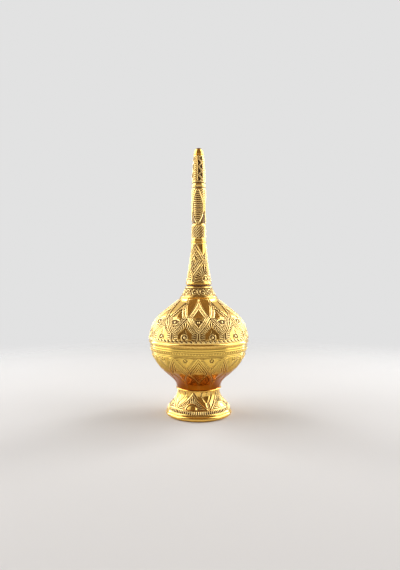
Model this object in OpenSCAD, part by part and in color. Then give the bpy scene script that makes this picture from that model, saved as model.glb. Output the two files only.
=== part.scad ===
// Rosewater sprinkler: a footed round flask with a tall flared spire.
// The spire carries a pierced cap and unscrews from the neck for filling.
// Every piece is turned or spun about the Z axis, so each is drawn as
// a section (radius, height) and revolved.

/* [Foot] */
// Largest radius of the base ring
base_r = 37.2; // [30:0.1:44]
// Height of the base ring
base_ring_h = 5; // [3:0.5:7]
// Width of the flat face that the flask stands on
base_ring_w = 2.4; // [1.5:0.1:4]
// Radius of the foot at its waist
waist_r = 24.7; // [21:0.1:28]
// Height of the top of the foot
foot_top_z = 28.6; // [24:0.1:34]
// Length of the foot's lower curve
foot_rise = 10.6; // [7:0.1:12]
// How far the foot leans in over that curve
foot_lean = 3.5; // [1:0.1:6]
// Height of the thin ring between foot and bowl
foot_ring_h = 2; // [1.2:0.1:3]
// How far that ring stands out from the waist
foot_ring_proud = 0.9; // [0.3:0.1:1.5]

/* [Body] */
// Radius of the body shells where they meet
body_r = 55.5; // [48:0.1:62]
// Height of the seam between bowl and shoulder
seam_z = 80.4; // [70:0.1:90]
// Radius of the bowl where its curve turns towards the foot
knee_r = 34.6; // [30:0.1:40]
// Height of the knee above the bowl's floor
knee_rise = 13.8; // [11:0.1:17]
// Slope of the bowl at the knee, in degrees
knee_slope = 40; // [34:1:48]
// Straight land of the bowl below the seam
bowl_land = 4.4; // [2:0.1:8]
// Straight land of the shoulder above the seam
shoulder_land = 9.6; // [9:0.1:12]
// How round the shoulder is above its land
shoulder_full = 20.8; // [14:0.1:25]
// Length of the shoulder's sweep up to the neck
shoulder_sweep = 21; // [14:0.1:26]
// Slope of the shoulder at the neck, in degrees
shoulder_slope = 44; // [38:1:50]
// How far the body curves lean in from the lands
body_lean = 2.3; // [0:0.1:4]

/* [Girdle] */
// Height of the girdle moulding
girdle_h = 8.2; // [6:0.1:8.8]
// How far the girdle stands out from the shells
girdle_proud = 1.1; // [0.6:0.1:1.6]
// Height of the register band inside the seam
band_h = 7; // [5:0.1:8]

/* [Neck] */
// Height of the bottom of the neck collar
collar_z = 130.2; // [120:0.1:140]
// Radius of the collar at its bottom
collar_low_r = 23.2; // [21:0.1:26]
// Radius of the collar at its mouth
collar_top_r = 15.7; // [15:0.1:18]
// Height of the collar
collar_h = 12.7; // [11:0.1:15]
// Height of the plain moulding at the collar's bottom
collar_bead_h = 1.7; // [1:0.1:2.5]
// Radius of the threaded bore in the collar
neck_bore_r = 10; // [8:0.1:11]
// Thickness of the sealing washer
seal_t = 2.4; // [1:0.1:3]
// How far the washer's edge sits inside the collar's mouth
seal_recess = 1.5; // [0.5:0.1:2.5]

/* [Spire] */
// Height of the spire above the washer
spire_h = 154.7; // [130:0.1:180]
// How far the spire's lip sits inside the collar's mouth
lip_set_in = 0.35; // [0.1:0.05:0.8]
// Height of the lip
lip_h = 1.6; // [1:0.1:3]
// Radius of the spire at its joint
joint_r = 9.2; // [8.6:0.1:10]
// Height of the joint above the bottom of the spire
joint_rise = 47; // [40:0.1:55]
// Height of the ring at the joint
joint_ring_h = 2.2; // [1.5:0.1:3]
// How far the sleeve in the joint reaches into each tube
sleeve_reach = 6; // [4:0.1:8]
// Radius of the upper tube where it starts to taper
taper_r = 8.75; // [8.4:0.05:9.5]
// Height of the tapered part below the cap
taper_h = 38; // [30:0.1:44]
// Radius of the upper tube under the cap
tip_r = 6.5; // [6:0.1:7]
// Height of the pierced cap
cap_h = 8.4; // [7:0.1:10]
// Radius of the sprinkling holes
hole_r = 0.5; // [0.4:0.05:0.7]
// Number of holes around the middle one
hole_count = 6; // [4:1:8]

/* [Screw joint] */
// Rise of the spire for one turn
thread_pitch = 1.75; // [1.25:0.25:2]
// Turns that the spire makes until it is free
thread_turns = 4; // [3:1:4]
// Radius of the bore through the threaded spigot
spigot_bore_r = 6.5; // [5:0.1:7]

/* [Walls and fits] */
// Wall of the foot and the body shells
body_wall = 1.2; // [0.8:0.1:1.6]
// Wall of the spire tubes
spire_wall = 1; // [0.7:0.1:1.2]
// Radial gap in soldered joints
solder_gap = 0.05; // [0.02:0.01:0.1]
// Radial gap in the screw joint
thread_gap = 0.1; // [0.05:0.01:0.2]
// Radius of the stud that holds the foot
stud_r = 3; // [2.5:0.1:4]
// Width across the flats of its nut
nut_flats = 10; // [9.5:0.1:13]
// Height of the nut
nut_h = 5; // [4:0.1:6]
// Thickness of the washer under the nut
washer_t = 1.5; // [1:0.1:2]

/* [Hidden] */
$fn = 96;

gold = [0.85, 0.64, 0.28];
pale_gold = [0.92, 0.76, 0.42];
deep_gold = [0.72, 0.48, 0.17];
brass = [0.71, 0.58, 0.30];
leather = [0.20, 0.11, 0.06];

// Steps along a long curve and along a small round
long_steps = 14;
short_steps = 8;

// Heights that follow from the sizes above
floor_z = foot_top_z + foot_ring_h;
bowl_inside_z = floor_z + body_wall;
plate_z = foot_top_z - body_wall;
nut_top_z = plate_z - washer_t;
knee_z = floor_z + knee_rise;
girdle_z = seam_z + 0.1;
shoulder_top_z = collar_z;
mouth_z = collar_z + collar_h;
spire_z = mouth_z + seal_t;
joint_z = spire_z + joint_rise;
upper_z = joint_z + joint_ring_h;
cap_z = spire_z + spire_h - cap_h;
taper_z = cap_z - taper_h;

// Fits that follow from the sizes above
body_in_r = body_r - body_wall;
stud_bore_r = stud_r + solder_gap;
spigot_r = neck_bore_r - thread_gap;
spigot_len = thread_pitch * thread_turns - 0.1;
lip_r = collar_top_r - lip_set_in;
plug_h = 2.5;
plug_r = lip_r - 1.5 - solder_gap;
socket_r = collar_top_r - 0.3;
socket_h = 2;
upper_r = joint_r - 0.2;
cap_plug_h = 3;

// A cubic curve from a to b whose ends leave along the handles
function curve(a, a_handle, b, b_handle, steps = long_steps) =
    [for (i = [0 : steps])
        let (t = i / steps, s = 1 - t)
        s * s * s * a + 3 * s * s * t * (a + a_handle)
        + 3 * s * t * t * (b + b_handle) + t * t * t * b];

// Points on a round about a centre, from one angle to another
function round_edge(centre, r, from, to, steps = short_steps) =
    [for (i = [0 : steps])
        let (a = from + (to - from) * i / steps)
        centre + r * [cos(a), sin(a)]];

// The same line moved towards the axis by a wall's thickness
function inside(line, wall) =
    [for (i = [0 : len(line) - 1])
        let (before = line[max(i - 1, 0)],
             after = line[min(i + 1, len(line) - 1)],
             way = (after - before) / norm(after - before))
        line[i] + wall * [-way[1], way[0]]];

function backwards(line) = [for (i = [len(line) - 1 : -1 : 0]) line[i]];

// A direction in the section, in degrees up from the radius
function along(angle, reach) = reach * [cos(angle), sin(angle)];

module turned(section) {
    rotate_extrude() polygon(section);
}

// Outer lines of the shells, each drawn from its bottom to its top
foot_line = curve([base_r - 0.5, base_ring_h], [-foot_lean, foot_rise],
                  [waist_r, foot_top_z - 2], [0.4, -foot_rise]);
bowl_low_line = curve([waist_r + 0.4, floor_z], [0.8, 5.4],
                      [knee_r, knee_z], -along(knee_slope, 6), short_steps);
bowl_high_line = curve([knee_r, knee_z], along(knee_slope, 11.3),
                       [body_r, seam_z - bowl_land], [-body_lean, -14]);
shoulder_line = curve([body_r, seam_z + shoulder_land], [-body_lean, shoulder_full],
                      [collar_low_r, shoulder_top_z], along(-shoulder_slope, shoulder_sweep));
collar_line = curve([collar_low_r - 1.4, collar_z + collar_bead_h], along(132, 3.8),
                    [collar_top_r, mouth_z - 0.4], [0.9, -3.3], short_steps);
flare_line = curve([lip_r - 0.5, spire_z + lip_h], [-2.5, 15],
                   [joint_r, joint_z], [0.4, -14.5]);
stem_line = curve([upper_r, upper_z], [-0.6, 20],
                  [taper_r, taper_z], [0, -18], short_steps);
tip_line = curve([taper_r, taper_z], [-0.1, 12],
                 [tip_r, cap_z], [1.1, -12], short_steps);

// Spun pedestal with a flat top plate that the stud passes through
module foot() {
    inner_line = inside(foot_line, body_wall);
    color(gold) turned(concat(
        [[base_r - 0.5 - body_wall - 0.3, base_ring_h]],
        [for (p = inner_line) if (p[1] > base_ring_h + 0.5) p],
        [[waist_r - body_wall, plate_z], [stud_bore_r, plate_z],
         [stud_bore_r, foot_top_z], [waist_r + 0.1, foot_top_z]],
        backwards(foot_line)));
}

// Heavy rounded ring under the edge of the foot, with a flat face below
module base_ring() {
    bulge_r = base_ring_h / 2;
    inner_r = base_r - bulge_r - base_ring_w;
    color(gold) turned(concat(
        [[inner_r, 0]],
        round_edge([base_r - bulge_r, bulge_r], bulge_r, -90, 30),
        [[base_r - 0.5, base_ring_h], [inner_r, base_ring_h]]));
}

// Thin bead between the foot and the bowl
module foot_ring() {
    bead_r = foot_ring_h / 2;
    outer_r = waist_r + foot_ring_proud;
    color(pale_gold) turned(concat(
        [[waist_r - 4, foot_top_z]],
        round_edge([outer_r - bead_r, foot_top_z + bead_r], bead_r, -90, 90),
        [[waist_r - 4, floor_z]]));
}

// Stud brazed into the floor of the bowl, its thread drawn plain
module foot_stud() {
    head_r = 2.7 * stud_r;
    color(brass) {
        translate([0, 0, bowl_inside_z]) cylinder(h = 2, r = head_r);
        translate([0, 0, nut_top_z - nut_h - 1.5])
            cylinder(h = bowl_inside_z - nut_top_z + nut_h + 1.5, r = stud_r);
    }
}

// Plain washer between the foot's top plate and the nut
module foot_washer() {
    color(brass) translate([0, 0, nut_top_z])
        difference() {
            cylinder(h = washer_t, r = 3 * stud_r);
            translate([0, 0, -1]) cylinder(h = washer_t + 2, r = stud_bore_r);
        }
}

// Hexagon nut that pulls the foot up against the bowl
module foot_nut() {
    color(brass) translate([0, 0, nut_top_z - nut_h])
        difference() {
            cylinder(h = nut_h, r = nut_flats / 2 / cos(30), $fn = 6);
            translate([0, 0, -1]) cylinder(h = nut_h + 2, r = stud_bore_r);
        }
}

// Lower shell: drawn in to a short waist with a flat floor
module bowl() {
    outer_line = concat(bowl_low_line, [for (i = [1 : len(bowl_high_line) - 1]) bowl_high_line[i]],
                        [[body_r, seam_z]]);
    inner_line = inside(outer_line, body_wall);
    color(deep_gold) turned(concat(
        outer_line,
        [[body_in_r, seam_z], [body_in_r, seam_z - bowl_land]],
        backwards([for (p = inner_line)
            if (p[1] > bowl_inside_z + 0.5 && p[1] < seam_z - bowl_land - 0.5) p]),
        [[waist_r + 0.4 - body_wall, bowl_inside_z], [stud_bore_r, bowl_inside_z],
         [stud_bore_r, floor_z]]));
}

// Band inside the seam that lines up the two shells
module joining_band() {
    outer_r = body_in_r - solder_gap;
    color(brass) translate([0, 0, seam_z - band_h / 2])
        difference() {
            cylinder(h = band_h, r = outer_r);
            translate([0, 0, -1]) cylinder(h = band_h + 2, r = outer_r - body_wall);
        }
}

// Moulding soldered round the shoulder: a rolled bead below a plain band
module girdle_ring() {
    seat_r = body_r + solder_gap;
    outer_r = body_r + girdle_proud;
    half = girdle_h / 2;
    color(pale_gold) turned(concat(
        [[seat_r, girdle_z]],
        round_edge([outer_r - 0.6 * girdle_proud, girdle_z + 0.4], 0.4, -90, -30, 4),
        round_edge([outer_r - 2.2, girdle_z + half / 2], 2.2, -40, 40),
        [[outer_r - 0.6, girdle_z + half], [outer_r - 0.2, girdle_z + half + 0.3],
         [outer_r - 0.2, girdle_z + girdle_h - 0.4],
         [outer_r - 0.5, girdle_z + girdle_h], [seat_r, girdle_z + girdle_h]]));
}

// Upper shell: a full shoulder that sweeps up to a flat seat for the collar
module shoulder() {
    inner_line = inside(shoulder_line, body_wall);
    color(gold) turned(concat(
        [[body_in_r, seam_z], [body_r, seam_z]],
        shoulder_line,
        [[socket_r, shoulder_top_z], [socket_r, shoulder_top_z - body_wall]],
        backwards([for (p = inner_line)
            if (p[1] > seam_z + shoulder_land && p[1] < shoulder_top_z - body_wall - 0.2) p]),
        [[body_in_r, seam_z + shoulder_land]]));
}

// Threaded collar at the neck, drawn with a plain bore
module neck_collar() {
    bead_r = collar_bead_h / 4;
    low = collar_low_r - 0.1;
    color(pale_gold) turned(concat(
        [[neck_bore_r, collar_z - socket_h], [socket_r - solder_gap, collar_z - socket_h],
         [socket_r - solder_gap, collar_z], [low - bead_r, collar_z]],
        round_edge([low - bead_r, collar_z + bead_r], bead_r, -60, 60, 4),
        round_edge([low - 0.9 - bead_r, collar_z + 3 * bead_r], bead_r, -60, 90, 4),
        collar_line,
        [[collar_top_r - 0.4, mouth_z], [neck_bore_r, mouth_z]]));
}

// Sealing washer, set back so that it shows as a dark line at the joint
module neck_washer() {
    color(leather) translate([0, 0, mouth_z])
        difference() {
            cylinder(h = seal_t, r = collar_top_r - seal_recess);
            translate([0, 0, -1]) cylinder(h = seal_t + 2, r = neck_bore_r + 0.3);
        }
}

// Threaded plug in the mouth of the spire, its thread drawn plain
module spire_spigot() {
    color(brass) difference() {
        union() {
            translate([0, 0, spire_z]) cylinder(h = plug_h, r = plug_r);
            translate([0, 0, mouth_z - spigot_len])
                cylinder(h = spigot_len + seal_t, r = spigot_r);
        }
        translate([0, 0, mouth_z - spigot_len - 1])
            cylinder(h = spigot_len + seal_t + plug_h + 2, r = spigot_bore_r);
    }
}

// Flared lower tube of the spire with a rounded lip
module lower_spire() {
    inner_line = inside(flare_line, spire_wall);
    seat_r = plug_r + solder_gap;
    color(gold) turned(concat(
        [[seat_r, spire_z]],
        round_edge([lip_r - 0.6, spire_z + 0.6], 0.6, -90, 0, 4),
        round_edge([lip_r - 0.6, spire_z + lip_h - 0.5], 0.6, 0, 60, 4),
        flare_line,
        [[joint_r - spire_wall, joint_z]],
        backwards([for (p = inner_line)
            if (p[1] > spire_z + plug_h + 1 && p[1] < joint_z - 0.5) p]),
        [[seat_r, spire_z + plug_h]]));
}

// Grooved ring with a sleeve that joins the two tubes
module spire_joint() {
    low_r = joint_r - spire_wall - solder_gap;
    high_r = stem_line[1][0] - spire_wall - 0.15;
    bore_r = high_r - 0.9;
    groove = 0.3;
    color(pale_gold) turned(concat(
        [[bore_r, joint_z - sleeve_reach], [low_r, joint_z - sleeve_reach],
         [low_r, joint_z], [joint_r - groove, joint_z]],
        [[joint_r - groove, joint_z + groove]],
        round_edge([joint_r - 0.6, joint_z + joint_ring_h / 2], 0.7, -40, 40),
        [[joint_r - groove, upper_z - groove], [joint_r - groove, upper_z],
         [high_r, upper_z], [high_r, upper_z + sleeve_reach],
         [bore_r, upper_z + sleeve_reach]]));
}

// Upper tube: nearly straight, then tapered to the cap
module upper_spire() {
    outer_line = concat(stem_line, [for (i = [1 : len(tip_line) - 1]) tip_line[i]]);
    inner_line = inside(outer_line, spire_wall);
    color(gold) turned(concat(
        outer_line,
        [[tip_r - spire_wall, cap_z], [tip_r - spire_wall, cap_z - cap_plug_h]],
        backwards([for (p = inner_line)
            if (p[1] > upper_z + 0.5 && p[1] < cap_z - cap_plug_h - 0.5) p]),
        [[upper_r - spire_wall, upper_z]]));
}

// Domed cap with a beaded edge, one middle hole and a ring of holes
module sprinkler_cap() {
    shell = 0.9;
    edge_r = tip_r + 0.4;
    plug_out_r = tip_r - spire_wall - solder_gap;
    dome_z = cap_z + 1.2;
    top_z = cap_z + cap_h;
    dome = curve([tip_r - 0.3, dome_z], [-0.2, 0.8 * (top_z - dome_z)],
                 [0, top_z], [4.2, 0]);
    hollow = curve([tip_r - 0.3 - shell, dome_z], [-0.2, 0.8 * (top_z - dome_z - shell)],
                   [0, top_z - shell], [3.6, 0]);
    color(deep_gold) difference() {
        turned(concat(
            [[plug_out_r - shell, cap_z - cap_plug_h], [plug_out_r, cap_z - cap_plug_h],
             [plug_out_r, cap_z]],
            round_edge([edge_r - 0.6, cap_z + 0.6], 0.6, -90, 90, short_steps),
            dome,
            backwards(hollow)));
        translate([0, 0, top_z - 3]) cylinder(h = 4, r = hole_r, $fn = 24);
        for (i = [0 : hole_count - 1])
            rotate([0, 0, i * 360 / hole_count])
                translate([0, 0, top_z - 5])
                    rotate([0, 38, 0])
                        translate([0, 0, 2]) cylinder(h = 6, r = hole_r, $fn = 24);
    }
}

foot();
base_ring();
foot_ring();
foot_stud();
foot_washer();
foot_nut();
bowl();
joining_band();
girdle_ring();
shoulder();
neck_collar();
neck_washer();
spire_spigot();
lower_spire();
spire_joint();
upper_spire();
sprinkler_cap();
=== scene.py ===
import bmesh
import bpy
import numpy as np
from mathutils import Matrix, Vector


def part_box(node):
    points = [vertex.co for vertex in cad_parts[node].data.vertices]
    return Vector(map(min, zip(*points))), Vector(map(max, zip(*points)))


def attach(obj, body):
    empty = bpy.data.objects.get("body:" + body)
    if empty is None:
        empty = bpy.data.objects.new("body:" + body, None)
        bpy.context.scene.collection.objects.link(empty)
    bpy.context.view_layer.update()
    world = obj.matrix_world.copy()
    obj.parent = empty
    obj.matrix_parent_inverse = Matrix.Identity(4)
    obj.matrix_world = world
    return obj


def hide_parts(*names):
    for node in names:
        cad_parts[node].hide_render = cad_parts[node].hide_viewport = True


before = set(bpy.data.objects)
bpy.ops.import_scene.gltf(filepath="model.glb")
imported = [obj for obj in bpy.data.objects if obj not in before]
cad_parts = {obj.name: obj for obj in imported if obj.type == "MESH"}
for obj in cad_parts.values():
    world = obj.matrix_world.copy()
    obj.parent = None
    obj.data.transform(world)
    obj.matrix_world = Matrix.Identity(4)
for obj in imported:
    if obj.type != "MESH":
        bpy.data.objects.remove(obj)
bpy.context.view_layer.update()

# The rosewater sprinkler's dressed shells. Lengths in the ornament are in
# millimetres, azimuths in radians from the front (-Y) towards +X.
MM = 0.001
TURN = 2 * np.pi

# How many times each ornament repeats round the vessel
SHOULDER_LOZENGES = 12
BOWL_LOZENGES = 12
FOOT_ARCHES = 5
COLLAR_SCROLLS = 12
ROPE_STRANDS = 72
BOWL_DOTS = 112
FOOT_FLUTES = 92
SPIRE_LOZENGES = 3
SPIRE_LEAVES = 3
SPIRE_STEMS = 4

# Azimuths of the first motif where it isn't straight in front
FOOT_ARCH_TURN = np.radians(-15)
SPIRE_LOZENGE_TURN = np.radians(-26)
SPIRE_LEAF_TURN = np.radians(-9)
SPIRE_STEM_TURN = np.radians(15)

# Rise of the screw at the neck for each turn, which the joint's coupling keeps to
THREAD_PITCH = 1.75

# How high the ornament stands, as a share of the heights in its drawings
EMBOSSING = 0.6

# How far the chased ground lies inside the CAD's line: pairs of a height and a depth
FOOT_GROUND = ((5.0, 0.5), (8.3, 1.0), (14.0, 1.5), (19.6, 1.1), (24.2, 1.3), (28.5, 1.0))
BOWL_GROUND = ((31.0, 0.3), (36.0, 0.5), (60.0, 0.6), (72.0, 0.9), (78.0, 0.6), (80.3, 0.3))
SHOULDER_GROUND = ((88.0, 0.1), (92.0, 0.5), (102.0, 0.9), (109.0, 1.2), (116.0, 1.7), (122.0, 2.1),
                   (127.0, 2.6), (130.1, 2.0))
COLLAR_GROUND = ((130.2, 1.5), (133.0, 1.1), (136.6, 1.5), (141.2, 0.5), (142.8, 0.2))
SPIRE_GROUND = ((145.3, 0.45), (148.5, 0.6), (152.0, 0.8), (300.0, 0.9))
JOINT_GROUND = ((192.3, 0.35), (194.5, 0.35))

# Heights of the lines where one piece meets the next, and how far an outline stops short of one
FOOT_EDGE = 5.0
FOOT_TOP = 28.6
BOWL_FLOOR = 30.6
BOWL_RIM = 80.4
SHOULDER_TOP = 130.2
COLLAR_MOUTH = 142.9
SPIRE_MOUTH = 145.3
JOINT_FOOT = 192.3
JOINT_TOP = 194.5
CAP_SEAT = 291.6
EDGE = 0.1

# The widest that a dressed shell may be, and the highest
WIDEST = 56.38
HIGHEST = 299.95

# Metal drawn deeper than DEEP is dark all over, with tarnish and painted shade. Elsewhere its tone goes by
# how it lies against what is within these reaches, and what stands RUBBED_RISE above that is rubbed bright
DEEP = 0.8
NEAR_REACH = 0.9
WIDE_REACH = 2.6
RUBBED_RISE = 0.3


# Shapes that the ornament is drawn with

def ease(low, high, x):
    """0 before low and 1 after high, with a smooth step between."""
    t = np.clip((x - low) / (high - low), 0.0, 1.0)
    return t * t * (3.0 - 2.0 * t)


def between(x, low, high, soft=0.25):
    """1 from low to high, with soft ends."""
    return ease(low - soft, low + soft, x) * ease(high + soft, high - soft, x)


def bead(x, middle, half):
    """A rounded ridge of height 1 along the line where x is middle."""
    t = np.clip(np.abs(x - middle) / half, 0.0, 1.0)
    return (1.0 - t * t) ** 2


def ridge(x, at, half, rise):
    """A rounded ridge of the given rise along the line where x is at."""
    return rise * bead(x, at, half)


def groove(x, at, half, drop):
    """A rounded groove along the line where x is at."""
    return -drop * bead(x, at, half)


def ball(x, y, half):
    """A round boss of height 1."""
    return np.sqrt(np.clip(1.0 - (x * x + y * y) / half ** 2, 0.0, 1.0))


def nearest(x, pitch):
    """Distance from the nearest multiple of pitch."""
    return x - pitch * np.round(x / pitch)


def dashes(x, pitch, half):
    """Short ridges across x, one for each pitch."""
    return bead(nearest(x, pitch), 0.0, half)


class Skin:
    """The grid of one turned surface, with its rows from bottom to top."""

    def __init__(self, line, columns):
        self.line = line
        self.columns = columns
        self.r = line[:, :1]
        self.z = line[:, 1:]
        lengths = np.hypot(*np.diff(line, axis=0).T)
        self.v = np.concatenate([[0.0], np.cumsum(lengths)])[:, None]
        self.turn = (np.arange(columns) * TURN / columns)[None, :]

    def level(self, height):
        """How far along the line a height lies."""
        return float(np.interp(height, self.z[:, 0], self.v[:, 0]))

    def motif(self, count, turn):
        """Azimuth from the middle of the nearest of count motifs."""
        return nearest(self.turn - turn, TURN / count)

    def across(self, count, turn=0.0):
        """The same as a length on the surface."""
        return self.motif(count, turn) * self.r

    def from_gap(self, count, turn=0.0):
        """The same from the middle between two motifs."""
        return self.across(count, turn + TURN / count / 2)

    def ring(self, height, half, rise):
        """A line all the way round, raised or sunk."""
        return ridge(self.v, self.level(height), half, rise)


def lozenges(skin, count, turn, low, corner, high, bow=1.0):
    """Depth inside a row of lozenges that touch at their corners, and distance along their edges.

    A bow below 1 swells their lower edges out, and one above 1 draws them in."""
    low, corner, high = skin.level(low), skin.level(corner), skin.level(high)
    half_angle = TURN / count / 2
    rise = np.clip((skin.v - low) / (corner - low), 0.0, None) ** bow
    width = half_angle * np.minimum(rise, (high - skin.v) / (high - corner))
    reach = np.where(skin.v < corner, corner - low, high - corner)
    lean = np.sqrt(1.0 + (skin.r * half_angle / reach) ** 2)
    depth = (width - np.abs(skin.motif(count, turn))) * skin.r / lean
    return depth, (skin.v - corner) * lean


def knob(x, y, size):
    """A ball in a sunk ring with a raised rim round it."""
    away = np.hypot(x, y)
    sunk = -0.7 * ease(2.0 * size, 1.5 * size, away)
    rim = 0.6 * bead(away, 2.1 * size, 0.45 * size)
    return sunk + rim + 0.95 * size * ball(x, y, 0.95 * size)


def shell_ribs(x, y, step):
    """Ribs that widen as they run out from the point that x and y are measured from."""
    share = nearest(np.degrees(np.arctan2(x, y)), step) / step
    return bead(share, 0.0, 0.42)


def rays(x, y, inward, start, stop, full, step):
    """Rays on a sunk band from start to stop inside an arch, round a middle that swells up to full."""
    band = between(inward, start, stop)
    return (0.9 * shell_ribs(x, y, step) - 0.5) * band + 0.5 * ease(stop, full, inward)


# The ornament, piece by piece: each function gives heights in mm over the skin's grid


def shoulder_relief(skin):
    low, corner, high = 95.0, 110.0, 128.7
    depth, along = lozenges(skin, SHOULDER_LOZENGES, 0.0, low, corner, high, bow=0.8)
    side = skin.across(SHOULDER_LOZENGES)
    above = ease(-1.5, 1.5, skin.v - skin.level(corner))

    # Frames: a heavy edge, a band hatched above and beaded below, and a thin inner line
    relief = ridge(depth, at=0.75, half=0.75, rise=0.75)
    relief += groove(depth, at=1.7, half=0.4, drop=0.55) + groove(depth, at=-0.45, half=0.5, drop=0.5)
    hatching = dashes(along + 0.7 * depth, pitch=2.3, half=0.8) * between(depth, 2.0, 3.0, soft=0.2)
    relief += 0.6 * hatching * above + ridge(depth, at=2.5, half=0.6, rise=0.55) * (1.0 - above)
    relief += groove(depth, at=3.35, half=0.4, drop=0.5) + ridge(depth, at=4.0, half=0.6, rise=0.7)
    field = ease(4.4, 4.8, depth)
    relief -= 0.4 * field

    # An arched lid over a sunk almond with a ball, and a gable above it
    lid_z, almond_height, ball_radius = 108.6, 6.4, 1.5
    up = skin.v - skin.level(lid_z)
    lid = up + 0.06 * side ** 2
    sill = up + almond_height - 0.09 * side ** 2
    gable = 0.3 * np.clip(depth - 4.7, 0.0, None) * ease(0.5, 1.1, lid)
    almond = 0.55 * ease(-0.4, -1.0, lid) * ease(0.1, 0.6, sill)
    boss = ball_radius * ball(side, up + almond_height / 2, ball_radius)
    rims = ridge(lid, at=0.2, half=0.95, rise=0.95) + ridge(sill, at=-0.2, half=0.7, rise=0.55)
    relief += field * (gable + rims + boss - almond)

    # Rayed arches that stand on the girdle between the lozenges, each with a knob before a sunk flame
    knob_z, flame_width, flame_height = 91.2, 3.2, 8.5
    outside = -depth
    under = ease(0.2, -0.6, skin.v - skin.level(corner))
    x = skin.from_gap(SHOULDER_LOZENGES)
    y = skin.v - skin.level(knob_z)
    flame = ease(0.3, -0.5, np.abs(x) - flame_width * (1.0 - y / flame_height))
    arches = ridge(outside, at=1.25, half=0.7, rise=0.65)
    arches += rays(x, y, outside, start=2.2, stop=5.2, full=10.0, step=11.0)
    arches += knob(x, y, 1.5) - 0.5 * flame * between(y, 0.0, 8.0, soft=0.4)
    relief += arches * under

    # Plain hollow-ground panels between the tops of the lozenges
    panel = np.clip((outside - 0.5) / 6.0, 0.0, 1.0)
    relief -= 0.5 * (1.0 - (1.0 - panel) ** 2) * (1.0 - under)
    relief += skin.ring(129.4, half=0.5, rise=0.15)
    return relief * ease(88.2, 89.2, skin.z)


def girdle_relief(skin):
    """A rope of slanted strands with a pit between each two, and grooves along the plain bead below."""
    rope_z, rope_half = 86.6, 1.85
    y = skin.z - rope_z
    pitch = TURN * skin.r / ROPE_STRANDS
    slanted = skin.across(ROPE_STRANDS) + 0.85 * y
    swell = np.sqrt(np.clip(1.0 - (y / rope_half) ** 2, 0.0, 1.0))
    relief = swell * (0.75 + 0.35 * dashes(slanted, pitch, half=2.1))
    from_pit = np.hypot(nearest(slanted + pitch / 2, pitch) / 1.15, (y - 0.5) / 1.45)
    pit = ease(1.0, 0.75, from_pit)
    relief = relief * (1.0 - pit) - 0.1 * pit
    for seam_z in (84.5, 80.7):
        relief += groove(skin.z, at=seam_z, half=0.4, drop=0.4)
    return relief


def bowl_relief(skin):
    low, corner, high = 37.2, 51.5, 67.8
    depth = lozenges(skin, BOWL_LOZENGES, 0.0, low, corner, high)[0]
    side = skin.across(BOWL_LOZENGES)
    over = ease(-0.2, 0.6, skin.v - skin.level(corner)) * ease(69.4, 68.9, skin.z)

    # Thin lines down the waist, and sheaves of ribs above the crest
    crest_z = 53.3
    crest = skin.v - (skin.level(crest_z) - 0.07 * side ** 2)
    relief = ridge(depth, at=0.7, half=0.7, rise=0.45 + 0.25 * over)
    relief += groove(depth, at=1.6, half=0.4, drop=0.4) + groove(depth, at=-0.3, half=0.45, drop=0.3)
    sheaf = ease(0.9, 1.5, crest) * between(depth, 1.8, 7.6)
    relief += (0.9 * dashes(depth - 0.7, pitch=2.15, half=0.85) - 0.4) * sheaf
    relief += ridge(crest, at=0.0, half=0.95, rise=0.8) * ease(1.8, 2.4, depth)
    lens = ease(-0.4, -1.2, crest) * ease(2.4, 3.0, depth)
    relief += lens * 0.2 * np.clip(depth - 2.9, 0.0, None)

    # Rayed arches that hang from the band, upside down to those of the shoulder
    knob_z = 67.0
    outside = -depth
    x = skin.from_gap(BOWL_LOZENGES)
    y = skin.level(knob_z) - skin.v
    arches = ridge(outside, at=1.1, half=0.65, rise=0.6)
    arches += rays(x, y, outside, start=2.0, stop=4.8, full=9.0, step=12.0)
    arches += ridge(np.hypot(x, y), at=4.9, half=0.7, rise=0.5) * ease(-1.0, 0.0, y)
    arches += knob(x, y, 1.3)
    relief += arches * over

    # A row of dots under the rim
    dots_z = 74.0
    drop = skin.v - skin.level(dots_z)
    relief += 1.1 * ball(skin.across(BOWL_DOTS), drop, 0.95) - 0.45 * between(drop, -1.2, 1.2)

    # Raised and sunk lines above and below the dots: height, half width and rise
    for height, half, rise in ((79.4, 0.6, -0.6), (77.1, 0.4, -0.4), (76.2, 0.6, 0.4), (72.2, 0.45, -0.5),
                               (71.4, 0.6, 0.5), (70.5, 0.45, -0.6), (69.7, 0.6, 0.5), (68.9, 0.4, -0.4)):
        relief += skin.ring(height, half, rise)
    return relief * ease(31.0, 33.0, skin.z)


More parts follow.
